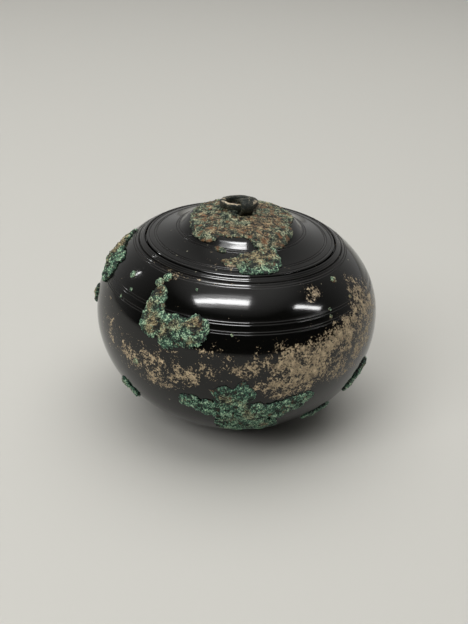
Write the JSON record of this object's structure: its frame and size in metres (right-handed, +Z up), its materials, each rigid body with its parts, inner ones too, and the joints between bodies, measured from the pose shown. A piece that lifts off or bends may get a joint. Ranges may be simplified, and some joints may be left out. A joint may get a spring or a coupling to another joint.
{
  "type": "lidded bowl",
  "caption": "Squat round bronze bowl with a flush drop-in lid, a strap loop holding a swinging ring, turned lines round mouth and shoulder, and raised corrosion lumps.",
  "frame": {"origin": "centre of the flat base, on the surface the bowl stands on", "axes": "+Z up along the bowl's turning axis, -Y towards the side in the picture, +X to its right"},
  "size_m": [0.1412, 0.1409, 0.112],
  "materials": {
    "bronze": "cast and turned bronze under a polished near-black patina with buff wear",
    "worn_bronze": "dark bronze, dull, with pale green and brown wear",
    "crust": "rough green and brown copper mineral crust"
  },
  "bodies": {
    "bowl": {"bowl": "bronze", "crust_front_left": "crust", "crust_front_low": "crust", "crust_left_shoulder": "crust", "crust_left_spot": "crust", "crust_left_low": "crust", "crust_right_low": "crust", "crust_right_under": "crust"},
    "lid": {"lid": "bronze", "ring_loop": "worn_bronze", "crust_boss": "crust", "crust_lid_edge": "crust"},
    "ring": {"pull_ring": "worn_bronze"}
  },
  "joints": [
    {"name": "lid_lift", "type": "slide", "parent": "bowl", "child": "lid", "axis": [0, 0, 1], "range_m": [0, 0.1]},
    {"name": "ring_swing", "type": "hinge", "parent": "lid", "child": "ring", "pos_m": [0.0013, 0, 0.1076], "axis": [0.9272, 0.3746, 0], "range_deg": [0, 180]}
  ]
}
